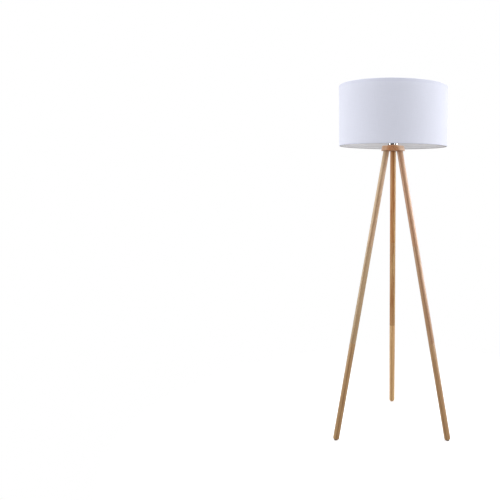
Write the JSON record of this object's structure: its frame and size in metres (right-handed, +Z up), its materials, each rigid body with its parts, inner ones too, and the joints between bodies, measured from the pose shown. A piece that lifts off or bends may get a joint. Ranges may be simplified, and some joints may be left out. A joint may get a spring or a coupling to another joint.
{
  "type": "tripod floor lamp",
  "caption": "Tripod floor lamp with a white fabric drum shade, turned wooden legs in screwed sections, a round wooden hub and a metal lampholder cup.",
  "frame": {"origin": "on the floor, at the centre of the footprint of the lamp's bounding box; the lamp's own vertical axis stands 26.3 mm in front of it (towards -Y)", "axes": "+Z up; +X to the right of the lamp seen from the front; +Y towards the single back leg"},
  "size_m": [0.484, 0.5026, 1.454],
  "materials": {
    "warm_wood": "satin clear lacquer, brown streaks",
    "pale_wood": "satin clear lacquer, pale",
    "honey_wood": "satin clear lacquer, honey",
    "shade_fabric": "fine plain weave, matte",
    "shade_lining": "satin styrene lining",
    "white_wire": "white enamel",
    "polished_nickel": "polished",
    "zinc_steel": "zinc plated",
    "brass": "bright",
    "cap_metal": "bright nickel-plated cap",
    "ceramic": "unglazed",
    "white_plastic": "satin",
    "black_plastic": "satin",
    "opal_glass": "opal diffuser",
    "foot_rubber": "matte"
  },
  "bodies": {
    "stand": {"hub": "warm_wood", "leg_left_upper": "warm_wood", "leg_left_middle": "pale_wood", "leg_left_lower": "honey_wood", "leg_right_upper": "warm_wood", "leg_right_middle": "honey_wood", "leg_right_lower": "warm_wood", "leg_back_upper": "honey_wood", "leg_back_middle": "warm_wood", "leg_back_lower": "honey_wood", "stud_left_hub": "zinc_steel", "insert_left_hub": "zinc_steel", "stud_left_upper": "zinc_steel", "insert_left_upper": "zinc_steel", "stud_left_lower": "zinc_steel", "insert_left_lower": "zinc_steel", "foot_pad_left": "foot_rubber", "stud_right_hub": "zinc_steel", "insert_right_hub": "zinc_steel", "stud_right_upper": "zinc_steel", "insert_right_upper": "zinc_steel", "stud_right_lower": "zinc_steel", "insert_right_lower": "zinc_steel", "foot_pad_right": "foot_rubber", "stud_back_hub": "zinc_steel", "insert_back_hub": "zinc_steel", "stud_back_upper": "zinc_steel", "insert_back_upper": "zinc_steel", "stud_back_lower": "zinc_steel", "insert_back_lower": "zinc_steel", "foot_pad_back": "foot_rubber", "nipple": "zinc_steel", "nipple_washer": "zinc_steel", "nipple_nut": "zinc_steel", "cord_bush": "black_plastic", "lampholder_cup": "polished_nickel", "lampholder_base": "white_plastic", "lampholder_body": "white_plastic", "lampholder_core": "ceramic", "terminal_screw_live": "brass", "terminal_screw_neutral": "brass", "centre_contact": "brass", "threaded_shell": "brass"},
    "shade": {"shade_cover": "shade_fabric", "shade_liner": "shade_lining", "top_wire_ring": "white_wire", "bottom_wire_ring": "white_wire", "fitter_ring": "white_wire", "spider_arm_1": "white_wire", "spider_arm_2": "white_wire", "spider_arm_3": "white_wire"},
    "shade_ring": {"shade_ring": "white_plastic"},
    "bulb_tip": {"bulb_contact": "cap_metal"},
    "bulb": {"bulb_insulator": "black_plastic", "bulb_cap": "cap_metal", "bulb_body": "white_plastic", "bulb_globe": "opal_glass"}
  },
  "joints": [
    {"name": "shade_turn", "type": "hinge", "parent": "stand", "child": "shade", "pos_m": [0, -0.02628, 1.26], "axis": [0, 0, 1], "continuous": true},
    {"name": "shade_ring_turn", "type": "hinge", "parent": "stand", "child": "shade_ring", "pos_m": [0, -0.02628, 1.26], "axis": [0, 0, 1], "range_deg": [0, 180]},
    {"name": "bulb_lift", "type": "slide", "parent": "stand", "child": "bulb_tip", "axis": [0, 0, 1], "range_m": [0, 0.01815]},
    {"name": "bulb_turn", "type": "hinge", "parent": "bulb_tip", "child": "bulb", "pos_m": [0, -0.02628, 1.26], "axis": [0, 0, 1], "range_deg": [0, 1800]}
  ],
  "couplings": [
    {"joint": "bulb_lift", "follows": "bulb_turn", "m_per_rad": 0.00057757}
  ]
}
